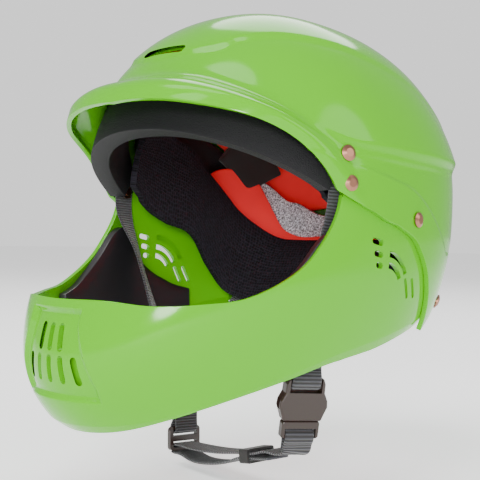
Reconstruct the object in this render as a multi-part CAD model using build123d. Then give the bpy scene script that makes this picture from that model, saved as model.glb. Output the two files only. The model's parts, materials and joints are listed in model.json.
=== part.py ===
"""Full-face water helmet: an outer shell over a riveted chin guard, with foam
and fabric padding, webbing straps and a side-release buckle. Sizes in mm,
+Z up, the face opening looks along -Y, +X is the wearer's left."""
from build123d import *
import math
import os
import numpy as np

# --- driving dimensions -------------------------------------------------
CROWN = 131.0            # height of the crown over the head band level
HALF_WIDTH = 119.0
FRONT, REAR = 118.0, 151.0
WIDEST = 8.0             # height of the widest section
SHELL = 3.2              # wall of the shell and of the guard
LAP = 3.5                # how far the guard sits inside the shell
RECESS = 2.6             # depth of the chin panel
EYE = np.array([0.0, 5.0, -40.0])   # centre the shell's grid is cast from

RIVET_HEAD, RIVET_SHANK = 4.9, 2.2
WEB, WEB_T = 19.0, 1.8   # webbing width and thickness


def smooth(x, xs, ys):
    """Cubic through the knots, held flat outside them."""
    xs, ys = np.asarray(xs, float), np.asarray(ys, float)
    m = np.gradient(ys, xs)
    x = np.clip(x, xs[0], xs[-1])
    i = np.clip(np.searchsorted(xs, x) - 1, 0, len(xs) - 2)
    h = xs[i + 1] - xs[i]
    t = (x - xs[i]) / h
    return ((2*t**3 - 3*t**2 + 1) * ys[i] + (t**3 - 2*t**2 + t) * h * m[i]
            + (3*t**2 - 2*t**3) * ys[i + 1] + (t**3 - t**2) * h * m[i + 1])


# --- the base surface: half width, front and rear reach at each height ------
LOW = [-150, -140, -122, -100, -75, -50, -25, -5, WIDEST]
LOW_WIDTH = [67, 79, 94, 104, 113, 118, 119, 119, HALF_WIDTH]
LOW_FRONT = [143, 154, 168, 175, 173, 164, 147, 128, FRONT]
LOW_REAR = [52, 60, 80, 99, 120, 135, 147, 150.5, REAR]
N_FRONT, N_REAR = 2.15, 2.3


def profile(z):
    h = np.clip((z - WIDEST) / (CROWN - WIDEST), 0, 1 - 1e-9)
    out = []
    for size, n, low in ((HALF_WIDTH, 2.15, LOW_WIDTH), (FRONT, 2.13, LOW_FRONT), (REAR, 2.19, LOW_REAR)):
        out.append(np.where(z > WIDEST, size * (1 - h**n)**(1/n), smooth(z, LOW, low)))
    return out


def section(theta, z):
    """Point at angle theta (0 = front, +90 = wearer's left) and height z."""
    a, f, r = profile(z)
    s, c = np.sin(np.radians(theta)), np.cos(np.radians(theta))
    n = np.where(c > 0, N_FRONT, N_REAR)
    y = np.where(c > 0, -f, r) * np.abs(c)**(2/n)
    return np.stack([a * np.sign(s) * np.abs(s)**(2/n), y, z + 0*y], -1)


def cast(phi, tau):
    """Point of the base surface seen from EYE: phi runs front to back over
    the crown, tau out to the side."""
    p, t = np.radians(phi), np.radians(tau)
    d = np.stack([np.sin(t) + 0*p, -np.cos(t)*np.cos(p), np.cos(t)*np.sin(p)], -1)
    lo, hi = np.zeros(d.shape[:-1]), np.full(d.shape[:-1], 300.0)
    for _ in range(36):
        mid = (lo + hi) / 2
        q = EYE + d * mid[..., None]
        a, f, r = profile(q[..., 2])
        front = q[..., 1] < 0
        n = np.where(front, N_FRONT, N_REAR)
        v = (np.abs(q[..., 0])/a)**n + (np.abs(q[..., 1])/np.where(front, f, r))**n
        inside = (v < 1) & (q[..., 2] < CROWN)
        lo, hi = np.where(inside, mid, lo), np.where(inside, hi, mid)
    return EYE + d * lo[..., None], d


def normals(p):
    n = np.cross(np.gradient(p, axis=0), np.gradient(p, axis=1))
    n /= np.linalg.norm(n, axis=-1, keepdims=True)
    out = np.sum(n * (p - [0, 10, -20]), -1).mean()
    return n if out > 0 else -n


def ribbed(outer, inner):
    """Closed solid between two matching grids of points, ruled from each
    column of points to the next."""
    def line(a, b):
        return Edge.make_line(Vector(*map(float, a)), Vector(*map(float, b)))
    rule = Face.make_surface_from_curves
    ribs = [[Edge.make_spline([Vector(*map(float, q)) for q in col]) for col in g] for g in (outer, inner)]
    faces = [rule(row[i], row[i + 1]) for row in ribs for i in range(len(outer) - 1)]
    for end in (0, -1):
        faces += [rule(line(outer[i, end], outer[i + 1, end]), line(inner[i, end], inner[i + 1, end]))
                  for i in range(len(outer) - 1)]
        faces.append(rule(ribs[0][end], ribs[1][end]))
    body = Solid(Shell(faces))
    return body if body.volume > 0 else Solid.cast(body.wrapped.Reversed())


def wall(y, z, side=1, inset=0.0):
    """Point on one side of the base surface and its outward normal."""
    a, f, r = (float(k) for k in profile(z))
    n = N_FRONT if y < 0 else N_REAR
    theta = math.degrees(math.acos(min(1.0, (abs(y) / (f if y < 0 else r))**(n/2))))
    theta = theta if y < 0 else 180 - theta
    g = section(*np.meshgrid([theta - 0.5, theta, theta + 0.5], [z - 0.5, z, z + 0.5], indexing="ij"))
    p, n = g[1, 1], normals(g)[1, 1]
    return (p - inset*n) * [side, 1, 1], n * [side, 1, 1]


def save(shape, name):
    export_step(shape, f"parts/{name}.step")


def group(solids):
    return Compound(children=list(solids))


# --- upper shell -----------------------------------------------------------
SEAM_PHI = [38, 44, 46, 52, 61, 97, 136, 176, 196, 215, 224]
SEAM_TAU = [51, 58.5, 61.5, 67, 71.4, 77, 76.5, 72.6, 68, 59.5, 54]
BRIM = ([0, .25, .5, .75, .9, 1], [40.5, 41.2, 43, 44.8, 45.4, 44])
NAPE = ([0, .4, .66, .85, 1], [193.5, 195.5, 200, 208, 219])
LIP_HEIGHT, LIP_OUT = 6.0, 8.0       # degrees of phi, mm
RIDGE_Y, RIDGE_Z = [-100, -87, -60, -36, 0, 60, 151], [60, 56, 48, 40, 36.5, 33.5, 31]
RIDGE_OUT = [0, 0, 1.0, 1.6, 2.2, 3.0, 4.5]


def shell_grid(s, v):
    """Outer points of the shell: s runs seam to seam, v brim to nape."""
    s, v = np.meshgrid(s, v, indexing="ij")
    low, high = smooth(abs(s), *BRIM), smooth(abs(s), *NAPE)
    phi = low + v * (high - low)
    tau = s * smooth(phi, SEAM_PHI, SEAM_TAU)
    p, d = cast(phi, tau)
    lip = np.clip(1 - (phi - low)/LIP_HEIGHT, 0, 1)**1.6 * smooth(abs(s), [0, .6, .85, 1], [1, .8, .35, 0])
    over = p[..., 2] - smooth(p[..., 1], RIDGE_Y, RIDGE_Z)
    rise = np.where(over > 0, np.clip(1 - over/55, 0, 1)**2, np.clip(1 + over/14, 0, 1)**2)
    ridge = rise * smooth(p[..., 1], RIDGE_Y, RIDGE_OUT)
    return p + d * (LIP_OUT*lip + ridge)[..., None]


v_rows = np.concatenate([np.linspace(0, .04, 5), np.linspace(.06, 1, 25)])
outer = shell_grid(np.linspace(-1, 1, 37), v_rows)
shell = ribbed(outer, outer - SHELL * normals(outer))

# slot high on the front of the crown
slot = Plane(origin=(0, -70, 97), x_dir=(1, 0, 0), z_dir=(0, -1, 0)) * SlotOverall(36, 5)
shell -= extrude(slot, 40)

# --- chin guard --------------------------------------------------------------
# upper edge (angle, height) and the angle on the low edge that faces it; past
# the eye port the edge turns over the temple arm and down the hidden rear edge
GUARD_EDGE = np.array([
    (0, -56.5, 0), (18, -56.4, 20), (32, -59, 36), (44, -58, 49), (54, -55, 59), (61, -47, 66),
    (66.5, -36, 72), (69.8, -23, 77), (71.6, -10.7, 81), (72.3, 0, 84), (71.4, 16, 88),
    (70, 32, 92), (70.8, 43, 95), (74, 48, 98), (78.5, 44, 100.5), (82.5, 34, 102.5),
    (88, 23, 105), (93.5, 13, 107.3), (99, 2, 109.6), (103.4, -12, 112), (108.7, -32, 115),
    (115, -54, 118), (120.5, -68, 121)])
LOW_EDGE = ([0, 8, 27, 40, 58, 70.5, 77.5, 88, 107, 114.4, 121],
            [-141, -140.5, -136, -128.5, -115, -105.6, -100, -94, -83.5, -80.5, -78])
REACH = np.concatenate([[0], np.cumsum(np.hypot(2*np.diff(GUARD_EDGE[:, 0]), np.diff(GUARD_EDGE[:, 1])))])


def guard_grid(u, v):
    """Outer points of the guard: u right to left, v low edge to upper edge."""
    u, v = np.meshgrid(u, v, indexing="ij")
    top, top_z, low = (smooth(abs(u) * REACH[-1], REACH, GUARD_EDGE[:, k]) for k in (0, 1, 2))
    theta = np.sign(u) * ((1 - v)*low + v*top)
    p = section(theta, (1 - v)*smooth(low, *LOW_EDGE) + v*top_z)
    n = normals(p)
    return p - LAP * n, n


u_rows, v_rows = np.linspace(-1, 1, 53), np.linspace(0, 1, 13)
outer, n = guard_grid(u_rows, v_rows)
guard = ribbed(outer, outer - SHELL * n)

# the panel round the chin vent is pressed in: its skin steps back by RECESS
near = np.linspace(-0.34, 0.34, 19)
outer, n = guard_grid(near, v_rows)
panel = [(-22.5, -65), (22.5, -65), (23.5, -73), (34.5, -108), (31, -115), (-31, -115), (-34.5, -108), (-23.5, -73)]
front = Plane(origin=(0, -120, 0), x_dir=(1, 0, 0), z_dir=(0, -1, 0))
prism = extrude(front * fillet(Polygon(*panel, align=None).vertices(), 5), 90, both=True)
back = extrude(front * offset(fillet(Polygon(*panel, align=None).vertices(), 5), 2.5), 90, both=True)
guard -= prism & ribbed(outer + 6*n, outer - RECESS*n)
guard += back & ribbed(outer - (SHELL - 0.4)*n, outer - (SHELL + RECESS)*n)
cuts = []

# chin vent: slanting slots in two rows
for z, xs in ((-80, (-18, -9, 0, 9, 18)), (-98.5, (-22, -11, 0, 11, 22))):
    for x in xs:
        lean = 90 + x * 0.55
        slot = Plane(origin=(x, -135, z), x_dir=(1, 0, 0), z_dir=(0, -1, 0)) * Rot(0, 0, lean) * SlotOverall(16.5, 4.4)
        cuts.append(extrude(slot, 60))

# side vents: three lines, each a dash, an arc and a drop
for side in (1, -1):
    plane = Plane(origin=(95 if side > 0 else -127, 0, 0), x_dir=(0, 1, 0), z_dir=(1, 0, 0))
    for r, y0, drop in ((29, -14.5, (32, 41)), (21.5, -12.5, (24, 39.5)), (14.5, -10.5, (16, 38.5))):
        dash = Pos((y0 - 5)/2, r - 51) * Rot(0, 0, -12) * SlotOverall(abs(y0) - 4, 3.8)
        arc = SlotArc(CenterArc((0, -51), r, 24, 60), 3.8)
        fall = Pos(drop[0] - 1.5, -51.5) * Rot(0, 0, -68) * SlotOverall(14, 3)
        for shape in (dash, arc, fall):
            cuts.append(extrude(plane * shape, 32))
guard = guard.cut(*cuts)

# --- rivets, washers --------------------------------------------------------
RIVETS = [(-37, 30.4, 7.1), (-36, 12.6, 9.6), (27.5, -7.8, 7.1), (88, -63, 6.6)]   # y, z, depth of the washer
rivets, washers, holes = [], [], []
up, down = (Align.CENTER, Align.CENTER, Align.MIN), (Align.CENTER, Align.CENTER, Align.MAX)
for y, z, depth in RIVETS:
    for side in (1, -1):
        p, n = wall(y, z, side)
        at = Plane(origin=tuple(p), z_dir=tuple(n))
        head = Pos(0, 0, 0.5) * (Cylinder(RIVET_HEAD, 0.7, align=up) + Pos(0, 0, 0.7) * Cone(RIVET_HEAD, 2.6, 1.3, align=up))
        shank = Pos(0, 0, 0.6) * Cylinder(RIVET_SHANK, depth + 2.6, align=down)
        upset = Pos(0, 0, -depth - 1.2) * Cylinder(3.2, 1.1, align=down)
        rivets.append(at * (head + shank + upset))
        washers.append(at * Pos(0, 0, -depth) * (Cylinder(5.6, 1.0, align=down) - Cylinder(RIVET_SHANK + 0.1, 9)))
        holes.append(at * Cylinder(RIVET_SHANK + 0.1, 30))
shell = shell.cut(*holes)
guard = guard.cut(*holes)

# --- padding ----------------------------------------------------------------
def fan_pad(phi0, phi1, tau0, tau1, depth, thick, n=(17, 9)):
    """Pad on the inside of the shell between two phi and two tau limits."""
    t, v = np.meshgrid(np.linspace(tau0, tau1, n[0]), np.linspace(0, 1, n[1]), indexing="ij")
    k = abs(t) / 60
    p, _ = cast((phi0(k) if callable(phi0) else phi0) * (1 - v) + phi1 * v, t)
    m = normals(p)
    return ribbed(p - depth*m, p - (depth + thick)*m)


def ring_pad(theta, low, top, depth, thick, n=(25, 7)):
    """Pad round the inside between two heights given against the angle."""
    t, v = np.meshgrid(np.linspace(*theta, n[0]), np.linspace(0, 1, n[1]), indexing="ij")
    a = np.where(t > 180, 360 - t, t)
    p = section(np.where(t > 180, t - 360, t), smooth(a, *low)*(1 - v) + smooth(a, *top)*v)
    m = normals(p)
    return ribbed(p - depth*m, p - (depth + thick)*m)


BAND_TOP = ([70, 90, 100, 107, 113, 126, 137, 150, 180], [38, 34, 31, 22, 6, -14, -26, -31, -33])
BAND_LOW = ([70, 80, 90, 97, 104, 112, 125, 150, 180], [10, -2, -12, -20, -38, -54, -66, -72, -74])
RED_TOP = ([100, 106, 115, 123, 131, 137, 144, 160, 180], [20, 34, 38, 31, 2, -17, -27, -29, -30])
RED_LOW = ([100, 112, 130, 180], [-22, -46, -58, -62])

brow_foam = fan_pad(lambda k: 36.5 + 5*k*k, 57, -46, 46, SHELL + 0.4, 14)
crown_pad = fan_pad(60, 137, -42, 42, SHELL + 0.4, 11)
crown_blocks = [fan_pad(112, 135, k*24, k*40, SHELL + 11.8, 9, (9, 7)) for k in (1, -1)]
impact_liner = fan_pad(140, 186, -45, 45, SHELL + 0.7, 15)
side_foam = [fan_pad(69, 132, k*45, k*58, LAP + SHELL + 0.6, 8, (7, 13)) for k in (1, -1)]
lining = ring_pad((101, 259), RED_LOW, RED_TOP, 19.2, 3)
band = ring_pad((74, 286), BAND_LOW, BAND_TOP, 22.8, 8)
CHEEK_TOP = ([50, 60, 66, 71, 78, 84, 88], [-64, -56, -44, -26, -26, -46, -60])
CHEEK_LOW = ([50, 60, 70, 88], [-110, -104, -97, -88])
cheek_left = ring_pad((52, 87), CHEEK_LOW, CHEEK_TOP, LAP + SHELL + 0.4, 8.5, (15, 7))


# --- straps -------------------------------------------------------------------
def unit(v):
    return np.array(v, float) / np.linalg.norm(v)


def ribbon(points, across, width=WEB, thick=WEB_T, n=14, loop=0):
    """Flat strap through the points; across gives its width direction at
    each. The last (or, if negative, the first) loop points wrap a bar."""
    pts, acr = np.array(points, float), np.array(across, float)
    t = np.concatenate([[0], np.cumsum(np.linalg.norm(np.diff(pts, axis=0), axis=1))])
    if loop > 0:
        u = np.concatenate([np.linspace(0, t[-loop], n)[:-1], np.linspace(t[-loop], t[-1], 26)])
    elif loop < 0:
        u = np.concatenate([np.linspace(0, t[-loop - 1], 26)[:-1], np.linspace(t[-loop - 1], t[-1], n)])
    else:
        u = np.linspace(0, t[-1], n)
    c = np.stack([smooth(u, t, pts[:, k]) for k in range(3)], -1)
    w = np.stack([smooth(u, t, acr[:, k]) for k in range(3)], -1)
    d = np.gradient(c, u, axis=0)
    d /= np.linalg.norm(d, axis=1, keepdims=True)
    w -= d * np.sum(w*d, 1, keepdims=True)
    w /= np.linalg.norm(w, axis=1, keepdims=True)
    m = np.cross(d, w)
    side = np.linspace(-width/2, width/2, 3)
    g = np.stack([c + w*k for k in side], 1)
    return ribbed(g + m[:, None]*thick/2, g - m[:, None]*thick/2)


def round_bar(origin, down, face, path):
    """Points of a loop given as (along the strap, out of its face)."""
    return [origin + y*down + z*face for y, z in path]


NEAR = np.array([79.0, -34.0, -110.0])       # bar of the buckle socket
FAR = np.array([-50.0, -20.0, -167.0])       # bar of the slider
DOWN = unit((-0.17, 0.03, -0.985))           # buckle, from socket to plug
ACROSS = unit(np.array([-0.45, -0.89, 0.0]) - DOWN*np.dot((-0.45, -0.89, 0.0), DOWN))
FACE = np.cross(ACROSS, DOWN)                # outward face of the buckle
FAR_DOWN = unit((0.06, -0.04, -1))
FAR_ACROSS = unit((-0.1, -1, 0.03))

FAR_FACE = np.cross(FAR_ACROSS, FAR_DOWN)
SOCKET_LOOP = [(-13, 0), (-7.5, 1.7), (-4, 3.5), (1.2, 3.5), (3.7, 1.3), (3.7, -1.3), (1.2, -3.5), (-4, -3.5),
               (-9, -3), (-15, -2.8)]
SLIDER_LOOP = [(-17, 0), (-12, 1.2), (-8.8, 3.1), (-6, 3.1), (-4.2, 1), (-4.2, -1), (-6, -3.1), (-8.8, -3.1),
               (-13, -2.8), (-18, -2.8)]

straps, channels = {}, {}
for side, name in ((1, "left"), (-1, "right")):
    top, n_top = wall(-36, 21, side, LAP + SHELL + 0.8 + WEB_T/2)
    mid, n_mid = wall(-37, 3, side, LAP + SHELL + 0.8 + WEB_T/2)
    origin, down_dir, face, last, path = ((NEAR, DOWN, FACE, ACROSS, SOCKET_LOOP) if side > 0 else
                                          (FAR, FAR_DOWN, -FAR_FACE, FAR_ACROSS, SLIDER_LOOP))
    turn = round_bar(origin, down_dir, face, path)
    first = np.cross(n_top, (0, 0, 1))
    first = first * np.sign(np.dot(first, last))
    front = [top, mid] + [mid*(1 - k) + turn[0]*k for k in (.25, .5, .75)] + turn
    widths = [first]*3 + [(2*first + last)/3, (first + 2*last)/3] + [last]*len(turn)
    straps["front_strap_" + name] = ribbon(front, widths, n=12, loop=len(turn))
    channels[side] = ribbon(front[:6], widths[:6], WEB + 1.4, WEB_T + 1.4, n=12)
    a, n_a = wall(88, -63, side, SHELL + 1.2 + WEB_T/2)
    flow = unit(turn[0] - mid)
    out = unit(np.cross(flow, last))
    out = out * np.sign(out[0]*side)
    b = turn[0] - 8*flow + 3.1*out
    run, over = (unit(b - a - k*np.dot(b - a, k)) for k in (n_a, out))
    w0, w1 = (k * -np.sign(k[2]) for k in (np.cross(n_a, run), np.cross(out, over)))
    rear = [a - 9*run, a + 7*run, (a + 7*run)*.5 + (b - 12*over)*.5, b - 12*over, b]
    widths = [w0, w0, (w0 + w1)/2, w1, w1]
    straps["rear_strap_" + name] = ribbon(rear, widths)
    channels[side] += ribbon(rear, widths, WEB + 1.4, WEB_T + 1.4)
for name, body in straps.items():
    straps[name] = body.cut(*holes)
cheek_left -= channels[1]
cheek_right = cheek_left.mirror(Plane.YZ)

# --- side-release buckle, drawn flat: X across, Y down the strap, Z its face ---
flat = Plane(origin=tuple(NEAR), x_dir=tuple(ACROSS), z_dir=tuple(FACE))
half = [(0, -3.4), (11.5, -3.4), (13, 0), (13.2, 6), (15.6, 11), (16, 15), (14, 20), (12.6, 24), (0, 24)]
with BuildPart() as socket:
    with BuildSketch():
        with BuildLine():
            Polyline(*half)
            mirror(about=Plane.YZ)
        make_face()
        fillet(vertices().filter_by(lambda v: abs(v.X) > 1), 1.4)
    extrude(amount=4.4, both=True)
    fillet(edges().group_by(Axis.Z)[-1] + edges().group_by(Axis.Z)[0], 1.6)
    with Locations((0, 3.7)):
        Box(21, 4, 20, mode=Mode.SUBTRACT)               # webbing slot
    with Locations((0, -2, 4.6), (0, -2, -4.6)):
        Box(21, 8, 5, mode=Mode.SUBTRACT)                # bar, set back
    with Locations((0, 17)):
        Box(21.6, 16, 4.8, mode=Mode.SUBTRACT)           # mouth, open downwards
    with Locations((0, 13.6)):
        Box(40, 6.6, 4.8, mode=Mode.SUBTRACT)            # windows for the prongs
socket = flat * socket.part
with BuildPart() as plug:
    with Locations((0, 30)):
        Box(25, 11.4, 6.4)
    fillet(edges().filter_by(Axis.Z), 2)
    fillet(edges().group_by(Axis.Z)[-1] + edges().group_by(Axis.Z)[0], 1.2)
    with Locations((0, 31.2)):
        Box(20.6, 4.2, 20, mode=Mode.SUBTRACT)
    with Locations((0, 35, 3.4), (0, 35, -3.4)):
        Box(20.6, 6, 3.6, mode=Mode.SUBTRACT)            # bar, set back
    with Locations((0, 18)):
        Box(5.2, 13, 3.8)                                # guide tongue
plug = flat * plug.part
prongs = []
for k in (1, -1):
    prongs.append(flat * (Pos(k*8.7, 17.3) * Box(2.4, 13.2, 4.2) + Pos(k*11.6, 13.6) * Box(5.4, 5.6, 4.2)))

# --- lower webbing, its tail, keeper and slider ------------------------------
KEEP = np.array([36.0, -31.6, -162.5])
KEEP_DIR = unit((-1, 0.05, -0.14))
ACR, LEVEL = (-0.12, -1, 0), (-0.05, -1, 0)
PLUG_LOOP = [(45, -2.6), (40, -2.6), (36.5, -2.9), (33.8, -2.9), (31.2, -1), (31.2, 1), (33.8, 2.9), (36.5, 2.9),
             (40, 1.2), (44, 0.3)]
turn = round_bar(NEAR, DOWN, FACE, PLUG_LOOP)
main = turn + [KEEP - 13*KEEP_DIR + (1, 0, 3.2), KEEP - 6*KEEP_DIR + (0, 0, 1.5), KEEP + 6*KEEP_DIR + (0, 0, 1.5),
               (0, -27.5, -167), (-26, -23.5, -169.8)]
main += round_bar(FAR, FAR_DOWN, FAR_FACE, [(4.2, 7), (4.2, 2.5), (4.2, -1), (5, -3.2), (7.4, -3.4)])
webbing = ribbon(main, [ACROSS]*len(turn) + [ACR]*3 + [LEVEL]*2 + [FAR_ACROSS]*5, n=46, loop=-len(turn))
tail = round_bar(FAR, FAR_DOWN, FAR_FACE, [(9.6, -2.4), (10.2, 1), (10.2, 6)])
tail += [(-30, -22, -178.6), (-8, -25.5, -176.5), (12, -28.5, -171.6), KEEP + 6*KEEP_DIR + (0, 0, -1.5),
         KEEP - 6*KEEP_DIR + (0, 0, -1.5), KEEP - 12*KEEP_DIR + (0, 0, -1.7), KEEP - 20*KEEP_DIR + (0, 0, -1.3)]
webbing_tail = ribbon(tail, [FAR_ACROSS]*3 + [LEVEL]*3 + [ACR]*4, n=36)

at = Plane(origin=tuple(KEEP), x_dir=tuple(unit(np.cross((0, 0, 1), KEEP_DIR))), z_dir=tuple(KEEP_DIR))
keeper = at * (RectangleRounded(WEB + 5, 9.2, 1.6) - Rectangle(WEB + 1.6, 6.2))
keeper = extrude(keeper, 4, both=True)
at = Plane(origin=tuple(FAR), x_dir=tuple(FAR_ACROSS), z_dir=tuple(np.cross(FAR_ACROSS, FAR_DOWN)))
frame = RectangleRounded(WEB + 7, 17, 3) - Pos(0, 4.2) * Rectangle(WEB + 1.4, 4.4) - Pos(0, -4.2) * Rectangle(WEB + 1.4, 4.4)
slider = extrude(at * frame, 1.8, both=True)

parts = {"outer_shell": shell, "chin_guard": guard, "rivets": group(rivets), "rivet_washers": group(washers),
         "brow_foam": brow_foam, "crown_pad": crown_pad, "crown_blocks": group(crown_blocks),
         "impact_liner": impact_liner, "side_foam": group(side_foam), "rear_lining": lining,
         "fit_band": band, "cheek_pad_left": cheek_left, "cheek_pad_right": cheek_right, **straps,
         "buckle_socket": socket, "buckle_plug": plug, "prong_left": prongs[0], "prong_right": prongs[1],
         "chin_webbing": webbing, "webbing_tail": webbing_tail, "webbing_keeper": keeper, "strap_slider": slider}
os.makedirs("parts", exist_ok=True)
for name, shape in parts.items():
    save(shape, name)
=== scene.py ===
import math
import json
import bmesh
import bpy
import numpy as np
from mathutils import Matrix, Vector

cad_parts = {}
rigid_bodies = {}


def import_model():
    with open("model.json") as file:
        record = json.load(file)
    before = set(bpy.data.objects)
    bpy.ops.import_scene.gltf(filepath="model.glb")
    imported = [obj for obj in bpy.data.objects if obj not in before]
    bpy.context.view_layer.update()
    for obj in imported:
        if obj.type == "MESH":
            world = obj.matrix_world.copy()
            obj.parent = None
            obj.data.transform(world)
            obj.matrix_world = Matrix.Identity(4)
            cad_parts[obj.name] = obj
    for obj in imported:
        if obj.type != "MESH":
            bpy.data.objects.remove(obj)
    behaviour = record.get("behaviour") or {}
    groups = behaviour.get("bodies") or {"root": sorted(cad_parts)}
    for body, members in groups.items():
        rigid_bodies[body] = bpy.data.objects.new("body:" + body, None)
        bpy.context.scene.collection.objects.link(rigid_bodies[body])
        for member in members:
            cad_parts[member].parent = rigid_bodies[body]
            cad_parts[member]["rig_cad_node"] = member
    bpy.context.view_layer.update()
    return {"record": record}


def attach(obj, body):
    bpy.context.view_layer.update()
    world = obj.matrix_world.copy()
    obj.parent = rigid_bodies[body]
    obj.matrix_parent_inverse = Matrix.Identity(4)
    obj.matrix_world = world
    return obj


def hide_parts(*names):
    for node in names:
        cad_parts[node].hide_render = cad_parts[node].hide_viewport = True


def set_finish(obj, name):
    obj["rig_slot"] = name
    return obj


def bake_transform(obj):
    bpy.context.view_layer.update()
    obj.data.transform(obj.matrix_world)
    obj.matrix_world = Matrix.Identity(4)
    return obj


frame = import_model()
MM = 0.001


# --- surfaces, in mm ---------------------------------------------------------
def smooth(x, xs, ys):
    """Smooth curve through the knots, level beyond them."""
    xs, ys = np.asarray(xs, float), np.asarray(ys, float)
    m = np.gradient(ys, xs)
    x = np.clip(x, xs[0], xs[-1])
    i = np.clip(np.searchsorted(xs, x) - 1, 0, len(xs) - 2)
    h = xs[i + 1] - xs[i]
    t = (x - xs[i]) / h
    return ((2*t**3 - 3*t**2 + 1) * ys[i] + (t**3 - 2*t**2 + t) * h * m[i]
            + (3*t**2 - 2*t**3) * ys[i + 1] + (t**3 - t**2) * h * m[i + 1])


def step(x):
    x = np.clip(x, 0, 1)
    return x*x*(3 - 2*x)


CROWN, HALF_WIDTH, FRONT, REAR, WIDEST = 131.0, 119.0, 118.0, 151.0, 8.0
SHELL, LAP = 3.2, 3.5               # wall; how far the guard lies under the shell's surface
WEB, WEB_T = 19.0, 1.8              # webbing width and thickness
EYE = np.array([0.0, 5.0, -40.0])   # where the fan of rays starts
LOW = [-150, -140, -122, -100, -75, -50, -25, -5, WIDEST]
LOW_WIDTH = [67, 79, 94, 104, 113, 118, 119, 119, HALF_WIDTH]
LOW_FRONT = [143, 154, 168, 175, 173, 164, 147, 128, FRONT]
LOW_REAR = [52, 60, 80, 99, 120, 135, 147, 150.5, REAR]
PROFILES = ((HALF_WIDTH, 2.15, LOW_WIDTH), (FRONT, 2.13, LOW_FRONT), (REAR, 2.19, LOW_REAR))
N_FRONT, N_REAR = 2.15, 2.3        # superellipse powers of a level section


def profile(z):
    h = np.clip((z - WIDEST) / (CROWN - WIDEST), 0, 1 - 1e-9)
    out = []
    for size, n, low in PROFILES:
        out.append(np.where(z > WIDEST, size * (1 - h**n)**(1/n), smooth(z, LOW, low)))
    return out


def section(theta, z):
    """The head form at a level, theta degrees round from straight ahead."""
    a, f, r = profile(z)
    s, c = np.sin(np.radians(theta)), np.cos(np.radians(theta))
    n = np.where(c > 0, N_FRONT, N_REAR)
    y = np.where(c > 0, -f, r) * np.abs(c)**(2/n)
    return np.stack([a * np.sign(s) * np.abs(s)**(2/n), y, z + 0*y], -1)


def cast(phi, tau):
    """Where rays from the eye point meet the head form: phi is the angle up
    from straight ahead, over the crown and down behind; tau is sideways."""
    p, t = np.radians(phi), np.radians(tau)
    d = np.stack([np.sin(t) + 0*p, -np.cos(t)*np.cos(p), np.cos(t)*np.sin(p)], -1)
    lo, hi = np.zeros(d.shape[:-1]), np.full(d.shape[:-1], 300.0)
    for _ in range(36):
        mid = (lo + hi) / 2
        q = EYE + d * mid[..., None]
        a, f, r = profile(q[..., 2])
        front = q[..., 1] < 0
        n = np.where(front, N_FRONT, N_REAR)
        v = (np.abs(q[..., 0])/a)**n + (np.abs(q[..., 1])/np.where(front, f, r))**n
        inside = (v < 1) & (q[..., 2] < CROWN)
        lo, hi = np.where(inside, mid, lo), np.where(inside, hi, mid)
    return EYE + d * lo[..., None], d


def normals(p):
    n = np.cross(np.gradient(p, axis=0), np.gradient(p, axis=1))
    n /= np.linalg.norm(n, axis=-1, keepdims=True)
    out = np.sum(n * (p - [0, 10, -20]), -1).mean()
    return n if out > 0 else -n


def wall(y, z, side, inset):
    """A point inset mm under the side of the head form, and its normal."""
    a, f, r = (float(k) for k in profile(z))
    n = N_FRONT if y < 0 else N_REAR
    theta = math.degrees(math.acos(min(1.0, (abs(y) / (f if y < 0 else r))**(n/2))))
    theta = theta if y < 0 else 180 - theta
    near = np.array([-0.5, 0.0, 0.5])
    g = section(*np.meshgrid(theta + near, z + near, indexing="ij"))
    p, n = g[1, 1], normals(g)[1, 1]
    return (p - inset*n) * [side, 1, 1], n * [side, 1, 1]


def unit(v):
    return np.array(v, float) / np.linalg.norm(v)


# --- meshes --------------------------------------------------------------------
def new(name, verts, faces, slot=None):
    me = bpy.data.meshes.new(name)
    me.from_pydata([tuple(map(float, v)) for v in verts], [], faces)
    me.validate()
    ob = bpy.data.objects.new(name, me)
    bpy.context.scene.collection.objects.link(ob)
    me.polygons.foreach_set("use_smooth", [True] * len(me.polygons))
    if slot:
        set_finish(ob, slot)
    return ob


def lengths(line):
    """Distance along a line of points, from its first."""
    steps = np.linalg.norm(np.diff(line, axis=0), axis=1)
    return np.cumsum(np.concatenate([[0], steps]))


def slab(name, outer, inner, slot):
    """Closed mesh between two matching grids; its uv map runs in mm."""
    nu, nv = outer.shape[:2]
    verts = np.concatenate([outer.reshape(-1, 3), inner.reshape(-1, 3)]) * MM

    def at(i, j, k):
        return k*nu*nv + i*nv + j

    faces = []
    for i in range(nu - 1):
        for j in range(nv - 1):
            faces.append((at(i, j, 0), at(i + 1, j, 0), at(i + 1, j + 1, 0), at(i, j + 1, 0)))
            faces.append((at(i, j, 1), at(i, j + 1, 1), at(i + 1, j + 1, 1), at(i + 1, j, 1)))
    u, v = nu - 1, nv - 1
    for i in range(u):
        faces.append((at(i, 0, 0), at(i, 0, 1), at(i + 1, 0, 1), at(i + 1, 0, 0)))
        faces.append((at(i, v, 0), at(i + 1, v, 0), at(i + 1, v, 1), at(i, v, 1)))
    for j in range(v):
        faces.append((at(0, j, 0), at(0, j + 1, 0), at(0, j + 1, 1), at(0, j, 1)))
        faces.append((at(u, j, 0), at(u, j, 1), at(u, j + 1, 1), at(u, j + 1, 0)))
    ob = new(name, verts, faces, slot)
    bm = bmesh.new()
    bm.from_mesh(ob.data)
    bmesh.ops.recalc_face_normals(bm, faces=bm.faces)
    bm.to_mesh(ob.data)
    bm.free()
    uvs = ob.data.uv_layers.new(name="mm")
    run = np.meshgrid(lengths(outer[:, nv//2]), lengths(outer[nu//2]), indexing="ij")
    table = np.stack(run, -1).reshape(-1, 2)
    for loop in ob.data.loops:
        uvs.data[loop.index].uv = table[loop.vertex_index % (nu*nv)]
    return ob


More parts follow.
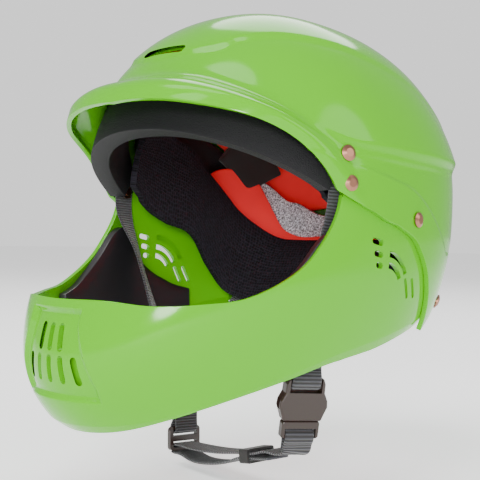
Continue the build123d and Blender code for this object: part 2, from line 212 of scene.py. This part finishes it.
def rounded(ob, width, segments, angle):
    """Rounds the edges sharper than angle."""
    m = ob.modifiers.new("edge", "BEVEL")
    m.width, m.segments = width*MM, segments
    m.limit_method, m.angle_limit = "ANGLE", math.radians(angle)


SHARP = 38        # degrees between faces that a cut mesh shades as an edge


def cut(ob, groups):
    """Takes the cutters out of ob, one group after another, and leaves a plain mesh."""
    for cutters in groups:
        bm = bmesh.new()
        for verts, faces in cutters:
            vs = [bm.verts.new(v) for v in verts]
            for f in faces:
                bm.faces.new([vs[k] for k in f])
        bmesh.ops.recalc_face_normals(bm, faces=bm.faces)
        me = bpy.data.meshes.new("cutters")
        bm.to_mesh(me)
        bm.free()
        tool = bpy.data.objects.new("cutters", me)
        bpy.context.scene.collection.objects.link(tool)
        m = ob.modifiers.new("holes", "BOOLEAN")
        m.operation, m.solver, m.object = "DIFFERENCE", "FAST", tool
        bpy.context.view_layer.update()
        deps = bpy.context.evaluated_depsgraph_get()
        done = bpy.data.meshes.new_from_object(ob.evaluated_get(deps), depsgraph=deps)
        ob.modifiers.clear()
        ob.data = done
        bpy.data.objects.remove(tool)
    done.polygons.foreach_set("use_smooth", [True] * len(done.polygons))
    sharp = ob.modifiers.new("shade", "EDGE_SPLIT")
    sharp.split_angle = math.radians(SHARP)


def prism(outline, origin, x, y, z, bottom, top, flare=0.0, lip=0.0):
    """Cutter: an outline in the x, y plane pushed from bottom to top along z,
    flaring by flare mm over the lip mm above its plane."""
    o, x, y, z = (np.array(k, float) for k in (origin, x, y, z))
    pts = np.array(outline, float)
    ahead = np.roll(pts, -1, 0) - np.roll(pts, 1, 0)
    nrm = np.stack([ahead[:, 1], -ahead[:, 0]], 1)
    nrm /= np.linalg.norm(nrm, axis=1, keepdims=True)
    rings = [(bottom, 0.0), (0.0, 0.0), (lip, flare), (top, flare)]
    if not flare:
        rings = [(bottom, 0.0), (top, 0.0)]
    verts, n = [], len(pts)
    for h, grow in rings:
        q = pts + nrm*grow
        verts += [tuple((o + x*a + y*b + z*h) * MM) for a, b in q]
    faces = [tuple(range(n)), tuple(range((len(rings) - 1)*n, len(rings)*n))]
    for r in range(len(rings) - 1):
        for i in range(n):
            j = (i + 1) % n
            faces.append((r*n + i, r*n + j, (r + 1)*n + j, (r + 1)*n + i))
    return verts, faces


def slot_outline(length, width, angle=0.0, at=(0, 0), n=8):
    """A round-ended slot; n points on each end."""
    r, h = width/2, length/2 - width/2
    pts = [(h + r*math.cos(t), r*math.sin(t)) for t in np.linspace(-math.pi/2, math.pi/2, n)]
    pts += [(-a, -b) for a, b in pts]
    c, s = math.cos(math.radians(angle)), math.sin(math.radians(angle))
    return [(at[0] + a*c - b*s, at[1] + a*s + b*c) for a, b in pts]


# --- outer shell ------------------------------------------------------------------
SEAM_PHI = [38, 44, 46, 52, 61, 97, 136, 176, 196, 215, 224]
SEAM_TAU = [51, 58.5, 61.5, 67, 71.4, 77, 76.5, 72.6, 68, 59.5, 54]
ALONG = [0, .25, .5, .62, .75, .87, 1]
BRIM = (ALONG, [37, 37.8, 39.4, 41.5, 45.2, 45.6, 44])
FLARE = (ALONG, [20, 20, 19, 16, 7, 2.5, 0])
NAPE = ([0, .4, .66, .85, 1], [193.5, 195.5, 200, 208, 219])
RIDGE_Y, RIDGE_Z = [-100, -87, -60, -36, 0, 60, 151], [60, 56, 48, 40, 36.5, 33.5, 31]
RIDGE_OUT = [0, .4, 1.2, 1.8, 2.4, 3.2, 4.5]
PLATE_EDGE = ([54, 56, 63, 70, 76, 86, 110, 135, 152], [0, 9, 17.5, 23, 27, 31, 35, 32, 20])
PLATE_OUT = ([54, 80, 110, 150], [1.7, 1.5, .6, .9])
CREASE = ([-60, -53, -38, 0, 25, 45, 80], [28, 26.6, 25, 17.4, 10.5, -1, -30])
CREASE_IN = ([-60, -40, -20, 60, 110], [.5, .3, .8, 1.0, 0])


def shell_relief(p, phi, tau, low, s):
    """Outward: the flared brim, the ridge round the head and the crown plate,
    less the hollow between the ridge and the crease."""
    lip = step(np.clip((14.5 - phi + low)/12.0, 0, 1))**1.3 * smooth(abs(s), *FLARE)
    y, z = p[..., 1], p[..., 2]
    over = z - smooth(y, RIDGE_Y, RIDGE_Z)
    rise = np.where(over > 0, np.clip(1 - over/55, 0, 1)**2, step(1 + over/6.5))
    ridge = rise * smooth(y, RIDGE_Y, RIDGE_OUT)
    across = step((smooth(phi, *PLATE_EDGE) - abs(tau))/2.6 + .5)
    plate = across * step((phi - 53.6)/2.0) * step((152 - phi)/5.0)
    plate = plate * smooth(phi, *PLATE_OUT)
    between = step((over + 7)/-3) * step((z - smooth(y, *CREASE))/2.5 + .5)
    return lip + ridge + plate - between * smooth(y, *CREASE_IN)


rows = np.concatenate([np.linspace(0, .05, 22), np.linspace(.053, 1, 210)])
s, v = np.meshgrid(np.linspace(-1, 1, 281), rows, indexing="ij")
low, high = smooth(abs(s), *BRIM), smooth(abs(s), *NAPE)
phi = low + v * (high - low)
tau = s * smooth(phi, SEAM_PHI, SEAM_TAU)
p, d = cast(phi, tau)
outer = p + d * shell_relief(p, phi, tau, low, s)[..., None]
inner = outer - SHELL * normals(outer)
shell = slab("shell_body", outer, inner, "shell")
crown_slot = prism(slot_outline(37, 4.6), (0, -84, 96.3), (1, 0, 0), (0, .53, .85),
                   (0, -.85, .53), -14, 20, flare=1.0, lip=.8)
rounded(shell, 1.0, 3, 60)
cut(shell, [[crown_slot]])
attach(shell, "helmet")
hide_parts("outer_shell")

# --- chin guard -----------------------------------------------------------------------
GUARD_EDGE = np.array([        # degrees round and height of the eye edge, degrees round of the hem
    (0, -56.5, 0), (18, -56.4, 20), (32, -59, 36), (44, -58, 49), (54, -55, 59), (61, -47, 66),
    (66.5, -36, 72), (69.8, -23, 77), (71.6, -10.7, 81), (72.3, 0, 84), (71.4, 16, 88),
    (70, 32, 92), (70.8, 43, 95), (74, 48, 98), (78.5, 44, 100.5), (82.5, 34, 102.5),
    (88, 23, 105), (93.5, 13, 107.3), (99, 2, 109.6), (103.4, -12, 112), (108.7, -32, 115),
    (115, -54, 118), (120.5, -68, 121)])
LOW_EDGE = ([0, 8, 27, 40, 58, 70.5, 77.5, 88, 107, 114.4, 121],
            [-141, -140.5, -136, -128.5, -115, -105.6, -100, -94, -83.5, -80.5, -78])
REACH = lengths(GUARD_EDGE[:, :2] * [2, 1])


def guard_grid(u, v):
    """The guard's base surface: u runs from side to side, v from hem to eye edge."""
    u, v = np.meshgrid(u, v, indexing="ij")
    top, top_z, low = (smooth(abs(u) * REACH[-1], REACH, k) for k in GUARD_EDGE.T)
    theta = np.sign(u) * ((1 - v)*low + v*top)
    p = section(theta, (1 - v)*smooth(low, *LOW_EDGE) + v*top_z)
    n = normals(p)
    return p - LAP * n, n


def guard_relief(p):
    """Inward: the chin-vent panel and the bevel along the low edge."""
    x, y, z = abs(p[..., 0]), p[..., 1], p[..., 2]
    half = 23 + 12*np.clip((-72 - z)/36, 0, 1)        # of the panel's width, wider lower down
    edge = np.minimum(np.minimum(half - x, z + 115), -64 - z)
    panel = 3.0 * step(edge/3.2 + .5) * (y < -100)
    theta = np.degrees(np.arctan2(x/119, -y/170))
    depth = z - smooth(np.clip(theta, 0, 120), *LOW_EDGE)
    bevel = 2.6 * np.clip(1 - depth/9.0, 0, 1)
    return panel + bevel


u_all = np.concatenate([np.linspace(-1, 1, 361), np.linspace(-.16, .16, 141)])
p, n = guard_grid(np.unique(np.round(u_all, 5)), np.linspace(0, 1, 150))
relief = guard_relief(p)[..., None]
outer, inner = p - n*relief, p - n*(relief + SHELL)
guard = slab("guard_body", outer, inner, "shell")
CHIN_SLOTS = ((-80, (-18, -9, 0, 9, 18)), (-98.5, (-22, -11, 0, 11, 22)))
VENT_Z, VENT_HALF = -51, 1.9        # height of the side vents' centre, half a ring's width
VENT_RINGS = ((29, -14.5, 30.5), (21.5, -12.5, 22.5), (14.5, -10.5, 14.5))
ends = np.radians(np.linspace(84, 24, 14))
groups = []
for r, y0, drop in VENT_RINGS:
    dash = slot_outline(abs(y0) - 4, 2*VENT_HALF, -12, ((y0 - 5)/2, r + VENT_Z))
    arc = [(k*math.cos(t), k*math.sin(t) + VENT_Z)
           for k, line in ((r + VENT_HALF, ends), (r - VENT_HALF, ends[::-1])) for t in line]
    fall = slot_outline(14, 3, -68, (drop, VENT_Z - .5))
    for shape in (dash, arc, fall):
        groups.append([prism(shape, (side*116, 0, 0), (0, 1, 0), (0, 0, 1), (side, 0, 0), -16, 16)
                       for side in (1, -1)])
for z, xs in CHIN_SLOTS:
    groups.append([prism(slot_outline(16.5, 4.4, 90 + x*.55), (x, -168.5, z),
                         (1, 0, 0), (0, 0, 1), (0, -1, 0), -22, 20) for x in xs])
rounded(guard, 0.9, 3, 60)
cut(guard, groups)
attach(guard, "helmet")
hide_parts("chin_guard")


# --- padding ------------------------------------------------------------------------
def puff(t, v, amount, power=4):
    """Pillow height over a pad: full in the middle, down to zero at its edges."""
    u = (t - t.min()) / (t.max() - t.min()) * 2 - 1
    w = v*2 - 1
    return amount * (1 - abs(u)**power) * (1 - abs(w)**power)


def pad(name, t, v, p, depth, thick, swell, slot, edge, side=1):
    """A pad from depth to depth + thick under the surface p, swell of that in its crown."""
    m = normals(p)
    body = thick - swell + puff(t, v, swell)
    mirror = [side, 1, 1]
    ob = slab(name, (p - depth*m) * mirror, (p - (depth + body[..., None])*m) * mirror, slot)
    rounded(ob, edge, 4, 50)
    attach(ob, "helmet")
    return ob


def fan_pad(name, phi0, phi1, tau0, tau1, depth, thick, slot, n=(81, 41), swell=2.0):
    """A pad between two phi, the first of them a number or a function of tau."""
    t, v = np.meshgrid(np.linspace(tau0, tau1, n[0]), np.linspace(0, 1, n[1]), indexing="ij")
    start = phi0(abs(t)) if callable(phi0) else phi0
    p, _ = cast(start * (1 - v) + phi1 * v, t)
    ob = pad(name, t, v, p, depth, thick, swell, slot, 2.2)
    return ob


def ring_pad(name, theta, low, top, depth, thick, slot, n=(161, 41), swell=2.0, side=1, edge=2.0):
    """A pad round the head between two height curves of the angle from the front."""
    t, v = np.meshgrid(np.linspace(*theta, n[0]), np.linspace(0, 1, n[1]), indexing="ij")
    a = np.where(t > 180, 360 - t, t)
    p = section(np.where(t > 180, t - 360, t), smooth(a, *low)*(1 - v) + smooth(a, *top)*v)
    ob = pad(name, t, v, p, depth, thick, swell, slot, edge, side)
    return ob


BAND_TOP = ([60, 90, 97, 101, 107, 113, 126, 137, 150, 180],
            [64, 62, 50, 38, 22, 6, -14, -26, -31, -33])
BAND_LOW = ([60, 70, 80, 90, 97, 104, 112, 125, 150, 180],
            [22, 10, -2, -12, -20, -44, -66, -80, -84, -86])
RED_TOP = ([100, 106, 115, 123, 131, 137, 144, 160, 180], [20, 34, 38, 33, 6, -13, -22, -25, -26])
RED_LOW = ([100, 112, 130, 180], [-22, -46, -58, -62])
CHEEK_TOP = ([50, 60, 66, 71, 78, 84, 92, 102], [-64, -54, -38, -18, -18, -40, -58, -66])
CHEEK_LOW = ([50, 60, 70, 88, 102], [-110, -104, -97, -90, -86])

LINER_TOP = ([0, 24, 29, 34.5, 37, 40, 45], [164, 163, 159, 155, 150, 144, 140])
BOTH = (("l", 1), ("r", -1))

brow = fan_pad("brow_pad", lambda tau: 36 + 7*(tau/60)**3, 58, -57, 57, SHELL + .5, 15, "foam",
               (141, 41))
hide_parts("brow_foam")
crown = fan_pad("crown_lining", 60, 162, -44, 44, SHELL + .5, 11, "red_fabric")
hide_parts("crown_pad")
blocks = [fan_pad("crown_block_" + w, 120, 145, k*33, k*48, SHELL + 11.9, 9, "black_fabric",
                  (33, 33), 4) for w, k in BOTH]
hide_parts("crown_blocks")
liner = fan_pad("rear_liner", lambda tau: smooth(tau, *LINER_TOP), 186, -45, 45, SHELL + .7, 15,
                "liner", swell=.5)
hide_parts("impact_liner")
sides = [fan_pad("side_foam_" + w, 69, 132, k*45, k*58, LAP + SHELL + .6, 8, "foam", (25, 61))
         for w, k in BOTH]
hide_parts("side_foam")
red = ring_pad("rear_lining_pad", (101, 259), RED_LOW, RED_TOP, 19.3, 3, "red_fabric",
               swell=1, edge=1)
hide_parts("rear_lining")
band = ring_pad("fit_band_pad", (65, 295), BAND_LOW, BAND_TOP, 22.9, 8, "mesh",
                n=(261, 41), swell=3)
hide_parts("fit_band")
for side, name in ((1, "left"), (-1, "right")):
    cheek = ring_pad("cheek_" + name, (52, 101), CHEEK_LOW, CHEEK_TOP, LAP + SHELL + .5, 8.5,
                     "moulded_pad", n=(61, 41), swell=3, side=side)
    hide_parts("cheek_pad_" + name)


# --- straps ------------------------------------------------------------------------
ACROSS_AT = [-.5, -.47, -.4, -.3, -.15, 0, .15, .3, .4, .47, .5]        # of the strap's width
HALF_THICK = [.45, .8, 1, .92, 1, .95, 1, .92, 1, .8, .45]               # of half its thickness
SPACING = 0.9


def ribbon(name, points, across):
    """Woven strap through the points, with thinned selvedges and two woven lines."""
    pts, acr = np.array(points, float), np.array(across, float)
    t = lengths(pts)
    u = np.linspace(0, t[-1], int(t[-1]/SPACING))
    c = np.stack([smooth(u, t, pts[:, k]) for k in range(3)], -1)
    w = np.stack([smooth(u, t, acr[:, k]) for k in range(3)], -1)
    d = np.gradient(c, axis=0)
    d /= np.linalg.norm(d, axis=1, keepdims=True)
    w -= d * np.sum(w*d, 1, keepdims=True)
    w /= np.linalg.norm(w, axis=1, keepdims=True)
    m = np.cross(d, w)
    g = np.stack([c + w*k for k in np.array(ACROSS_AT) * WEB], 1)
    h = (WEB_T/2 * np.array(HALF_THICK))[None, :, None]
    return slab(name, g + m[:, None]*h, g - m[:, None]*h, "webbing")


def round_bar(origin, down, face, path):
    """Points of a path given by its distances down and out from the origin."""
    return [origin + y*down + z*face for y, z in path]


NEAR = np.array([79.0, -34.0, -110.0])
FAR = np.array([-50.0, -20.0, -167.0])
DOWN = unit((-0.17, 0.03, -0.985))
ACROSS = unit(np.array([-0.45, -0.89, 0.0]) - DOWN*np.dot((-0.45, -0.89, 0.0), DOWN))
FACE = np.cross(ACROSS, DOWN)
FAR_DOWN = unit((0.06, -0.04, -1))
FAR_ACROSS = unit((-0.1, -1, 0.03))
FAR_FACE = np.cross(FAR_ACROSS, FAR_DOWN)
SOCKET_LOOP = [(-13, 0), (-7.5, 1.7), (-4, 3.5), (1.2, 3.5), (3.7, 1.3), (3.7, -1.3),
               (1.2, -3.5), (-4, -3.5), (-9, -3), (-15, -2.8)]
SLIDER_LOOP = [(-17, 0), (-12, 1.2), (-8.8, 3.1), (-6, 3.1), (-4.2, 1), (-4.2, -1),
               (-6, -3.1), (-8.8, -3.1), (-13, -2.8), (-18, -2.8)]

for side, name in ((1, "left"), (-1, "right")):
    top, n_top = wall(-36, 21, side, LAP + SHELL + 0.8 + WEB_T/2)
    mid, n_mid = wall(-37, 3, side, LAP + SHELL + 0.8 + WEB_T/2)
    if side > 0:
        turn, last = round_bar(NEAR, DOWN, FACE, SOCKET_LOOP), ACROSS
    else:
        turn, last = round_bar(FAR, FAR_DOWN, -FAR_FACE, SLIDER_LOOP), FAR_ACROSS
    first = np.cross(n_top, (0, 0, 1))
    first = first * np.sign(np.dot(first, last))
    twist = np.array((0, 0, 0) if side > 0 else (.55, .15, 0))
    line = [top, mid] + [mid*(1 - k) + turn[0]*k for k in (.25, .5, .75)] + turn
    widths = [first, first, first + twist, (2*first + last)/3 + twist,
              (first + 2*last)/3 + .6*twist] + [last]*len(turn)
    front = ribbon("front_leg_" + name, line, widths)
    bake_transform(front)
    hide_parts("front_strap_" + name)
    a, n_a = wall(88, -63, side, SHELL + 1.2 + WEB_T/2)
    flow = unit(turn[0] - mid)
    out = unit(np.cross(flow, last))
    out = out * np.sign(out[0]*side)
    b = turn[0] - 8*flow + 3.1*out
    run, over = (unit(b - a - k*np.dot(b - a, k)) for k in (n_a, out))
    w0, w1 = (k * -np.sign(k[2]) for k in (np.cross(n_a, run), np.cross(out, over)))
    line = [a - 9*run, a + 7*run, (a + 7*run)*.5 + (b - 12*over)*.5, b - 12*over, b]
    rear = ribbon("rear_leg_" + name, line, [w0, w0, (w0 + w1)/2, w1, w1])
    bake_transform(rear)
    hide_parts("rear_strap_" + name)

KEEP = np.array([36.0, -31.6, -162.5])
KEEP_DIR = unit((-1, 0.05, -0.14))
AT_KEEPER, LEVEL = (-0.12, -1, 0), (-0.05, -1, 0)
PLUG_LOOP = [(45, -2.6), (40, -2.6), (36.5, -2.9), (33.8, -2.9), (31.2, -1), (31.2, 1),
             (33.8, 2.9), (36.5, 2.9), (40, 1.2), (44, 0.3)]
turn = round_bar(NEAR, DOWN, FACE, PLUG_LOOP)
main = turn + [KEEP - 13*KEEP_DIR + (1, 0, 3.2), KEEP - 6*KEEP_DIR + (0, 0, 1.5),
               KEEP + 6*KEEP_DIR + (0, 0, 1.5), (0, -27.5, -167), (-26, -23.5, -169.8)]
main += round_bar(FAR, FAR_DOWN, FAR_FACE,
                  [(4.2, 7), (4.2, 2.5), (4.2, -1), (5, -3.2), (7.4, -3.4)])
webbing = ribbon("lower_webbing", main,
                 [ACROSS]*len(turn) + [AT_KEEPER]*3 + [LEVEL]*2 + [FAR_ACROSS]*5)
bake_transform(webbing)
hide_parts("chin_webbing")
tail = round_bar(FAR, FAR_DOWN, FAR_FACE, [(9.6, -2.4), (10.2, 1), (10.2, 6)])
tail += [(-30, -22, -178.6), (-8, -25.5, -176.5), (12, -28.5, -171.6),
         KEEP + 6*KEEP_DIR + (0, 0, -1.5), KEEP - 6*KEEP_DIR + (0, 0, -1.5),
         KEEP - 12*KEEP_DIR + (0, 0, -1.7), KEEP - 20*KEEP_DIR + (0, 0, -1.3)]
loose = ribbon("tail", tail, [FAR_ACROSS]*3 + [LEVEL]*3 + [AT_KEEPER]*4)
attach(loose, "chin_strap")
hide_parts("webbing_tail")


# --- materials -------------------------------------------------------------------------
def material(name, colour, rough, metal=0.0, spec=0.5, sheen=0.0):
    m = bpy.data.materials.new(name)
    m.use_nodes = True
    b = m.node_tree.nodes["Principled BSDF"]
    b.inputs["Base Color"].default_value = (*colour, 1)
    b.inputs["Roughness"].default_value = rough
    b.inputs["Metallic"].default_value = metal
    b.inputs["Specular IOR Level"].default_value = spec
    b.inputs["Sheen Weight"].default_value = sheen
    return m, m.node_tree, b


def bump(nt, b, height, strength, distance):
    n = nt.nodes.new("ShaderNodeBump")
    n.inputs["Strength"].default_value = strength
    n.inputs["Distance"].default_value = distance
    nt.links.new(height, n.inputs["Height"])
    nt.links.new(n.outputs["Normal"], b.inputs["Normal"])


def noise(nt, scale, detail):
    tc = nt.nodes.new("ShaderNodeTexCoord")
    n = nt.nodes.new("ShaderNodeTexNoise")
    n.inputs["Scale"].default_value = scale
    n.inputs["Detail"].default_value = detail
    nt.links.new(tc.outputs["Object"], n.inputs["Vector"])
    return n.outputs["Fac"]


def ramp(nt, fac, stops):
    r = nt.nodes.new("ShaderNodeValToRGB")
    e = r.color_ramp.elements
    while len(e) < len(stops):
        e.new(0.5)
    for k, (pos, col) in zip(e, stops):
        k.position, k.color = pos, (*col, 1)
    nt.links.new(fac, r.inputs["Fac"])
    return r.outputs["Color"]


green, nt, b = material("lime_shell", (0.088, 0.42, 0.0), 0.12, spec=0.24)
foam, nt, b = material("black_foam", (0.006, 0.0055, 0.007), 0.6, spec=0.25)
bump(nt, b, noise(nt, 1400, 3), 0.9, 0.0006)
red_cloth, nt, b = material("red_cloth", (0.95, 0.03, 0.035), 0.9)
bump(nt, b, noise(nt, 1800, 2), 0.4, 0.0003)
black_cloth, nt, b = material("black_cloth", (0.010, 0.008, 0.008), 0.85, sheen=0.2)
bead, nt, b = material("grey_bead_foam", (0.3, 0.33, 0.35), 0.6)
grain = ramp(nt, noise(nt, 900, 2),
             [(0.36, (0.10, 0.12, 0.135)), (0.52, (0.48, 0.55, 0.62)), (0.66, (0.85, 0.93, 1.0))])
nt.links.new(grain, b.inputs["Base Color"])
moulded, nt, b = material("moulded_black", (0.014, 0.013, 0.015), 0.33, spec=0.6)
plastic, nt, b = material("dark_plastic", (0.022, 0.010, 0.007), 0.28, spec=0.6)
metal, nt, b = material("rivet_metal", (0.36, 0.17, 0.11), 0.34, 1.0)

# ribbed webbing and spacer mesh follow the strip's own length
web, nt, b = material("webbing", (0.018, 0.016, 0.017), 0.6, sheen=0.25)
uv = nt.nodes.new("ShaderNodeUVMap")
wave = nt.nodes.new("ShaderNodeTexWave")
wave.bands_direction = "X"
wave.inputs["Scale"].default_value = 0.16
nt.links.new(uv.outputs["UV"], wave.inputs["Vector"])
bump(nt, b, wave.outputs["Fac"], 0.9, 0.0008)
ribs = ramp(nt, wave.outputs["Fac"], [(0.2, (0.008, 0.006, 0.006)), (0.8, (0.045, 0.045, 0.055))])
nt.links.new(ribs, b.inputs["Base Color"])
net, nt, b = material("spacer_mesh", (0.006, 0.005, 0.007), 0.8, spec=0.15)
uv = nt.nodes.new("ShaderNodeUVMap")
cells = nt.nodes.new("ShaderNodeTexVoronoi")
cells.inputs["Scale"].default_value = 0.42
cells.inputs["Randomness"].default_value = 0.35
nt.links.new(uv.outputs["UV"], cells.inputs["Vector"])
bump(nt, b, cells.outputs["Distance"], 1.0, 0.001)
knit = ramp(nt, cells.outputs["Distance"],
            [(0.15, (0.002, 0.002, 0.002)), (0.6, (0.016, 0.014, 0.021))])
nt.links.new(knit, b.inputs["Base Color"])

LOOKS = {"shell": green, "foam": foam, "red_fabric": red_cloth, "black_fabric": black_cloth,
         "liner": bead, "mesh": net, "moulded_pad": moulded, "webbing": web, "buckle": plastic,
         "keeper": black_cloth, "rivet": metal, "washer": metal}
slots = {k["node"]: k["material_slot"] for k in frame["record"]["subparts"]}
for ob in bpy.data.objects:
    if ob.type == "MESH":
        name = ob.get("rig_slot") or slots.get(ob.get("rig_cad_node"))
        if name in LOOKS:
            ob.data.materials.clear()
            ob.data.materials.append(LOOKS[name])

# --- studio ------------------------------------------------------------------------------
FLOOR_Z, FLOOR_HALF = -0.1865, 9
floor = new("floor", [(x*FLOOR_HALF, y*FLOOR_HALF, FLOOR_Z)
                      for x, y in ((-1, -1), (1, -1), (1, 1), (-1, 1))], [(0, 1, 2, 3)])
white, nt, b = material("floor_white", (0.93, 0.93, 0.93), 0.9)
b.inputs["Emission Color"].default_value = (1, 1, 1, 1)
b.inputs["Emission Strength"].default_value = 0.55
floor.data.materials.append(white)
world = bpy.data.worlds.new("studio")
bpy.context.scene.world = world
world.use_nodes = True
soft = world.node_tree.nodes["Background"]
soft.inputs["Color"].default_value = (1, 1, 1, 1)
soft.inputs["Strength"].default_value = 0.55
seen = world.node_tree.nodes.new("ShaderNodeBackground")      # what the camera sees past the floor
seen.inputs["Strength"].default_value = 1.15
path = world.node_tree.nodes.new("ShaderNodeLightPath")
mix = world.node_tree.nodes.new("ShaderNodeMixShader")
seen.inputs["Color"].default_value = (1, 1, 1, 1)
for k, out in enumerate((path.outputs["Is Camera Ray"], soft.outputs[0], seen.outputs[0])):
    world.node_tree.links.new(out, mix.inputs[k])
world.node_tree.links.new(mix.outputs[0], world.node_tree.nodes["World Output"].inputs["Surface"])


def lamp(name, azimuth, elevation, distance, size, watts):
    """A round soft light that looks at the origin."""
    a, e = math.radians(azimuth), math.radians(elevation)
    to = Vector((math.sin(a)*math.cos(e), -math.cos(a)*math.cos(e), math.sin(e)))
    data = bpy.data.lights.new(name, "AREA")
    data.shape, data.size, data.size_y, data.energy = "ELLIPSE", size, size, watts
    ob = bpy.data.objects.new(name, data)
    bpy.context.scene.collection.objects.link(ob)
    ob.location = to * distance
    ob.rotation_euler = to.to_track_quat("Z", "Y").to_euler()


lamp("key", 0, 56, 2.2, 1.7, 46)
lamp("fill", 110, 28, 2.2, 1.4, 16)
lamp("front", 40, 10, 2.0, 0.5, 30)
lamp("back", 215, 50, 2.4, 1.6, 30)

# --- camera -----------------------------------------------------------------------------
AZ, EL, ROLL, DIST, LENS = 45.7, 0.3, 0.95, 0.6866, 72.0
TARGET = Vector((-15.4, 0.0, -22.8)) * MM
a, e, r = (math.radians(k) for k in (AZ, EL, ROLL))
back = Vector((math.sin(a)*math.cos(e), -math.cos(a)*math.cos(e), math.sin(e)))
right = Vector((math.cos(a), math.sin(a), 0))
up = back.cross(right)
right, up = right*math.cos(r) + up*math.sin(r), up*math.cos(r) - right*math.sin(r)
data = bpy.data.cameras.new("camera")
data.lens, data.sensor_width, data.clip_start, data.clip_end = LENS, 36.0, 0.05, 30
camera = bpy.data.objects.new("camera", data)
bpy.context.scene.collection.objects.link(camera)
rot = Matrix((right, up, back)).transposed().to_4x4()
camera.matrix_world = Matrix.Translation(TARGET + back*DIST) @ rot
bpy.context.scene.camera = camera
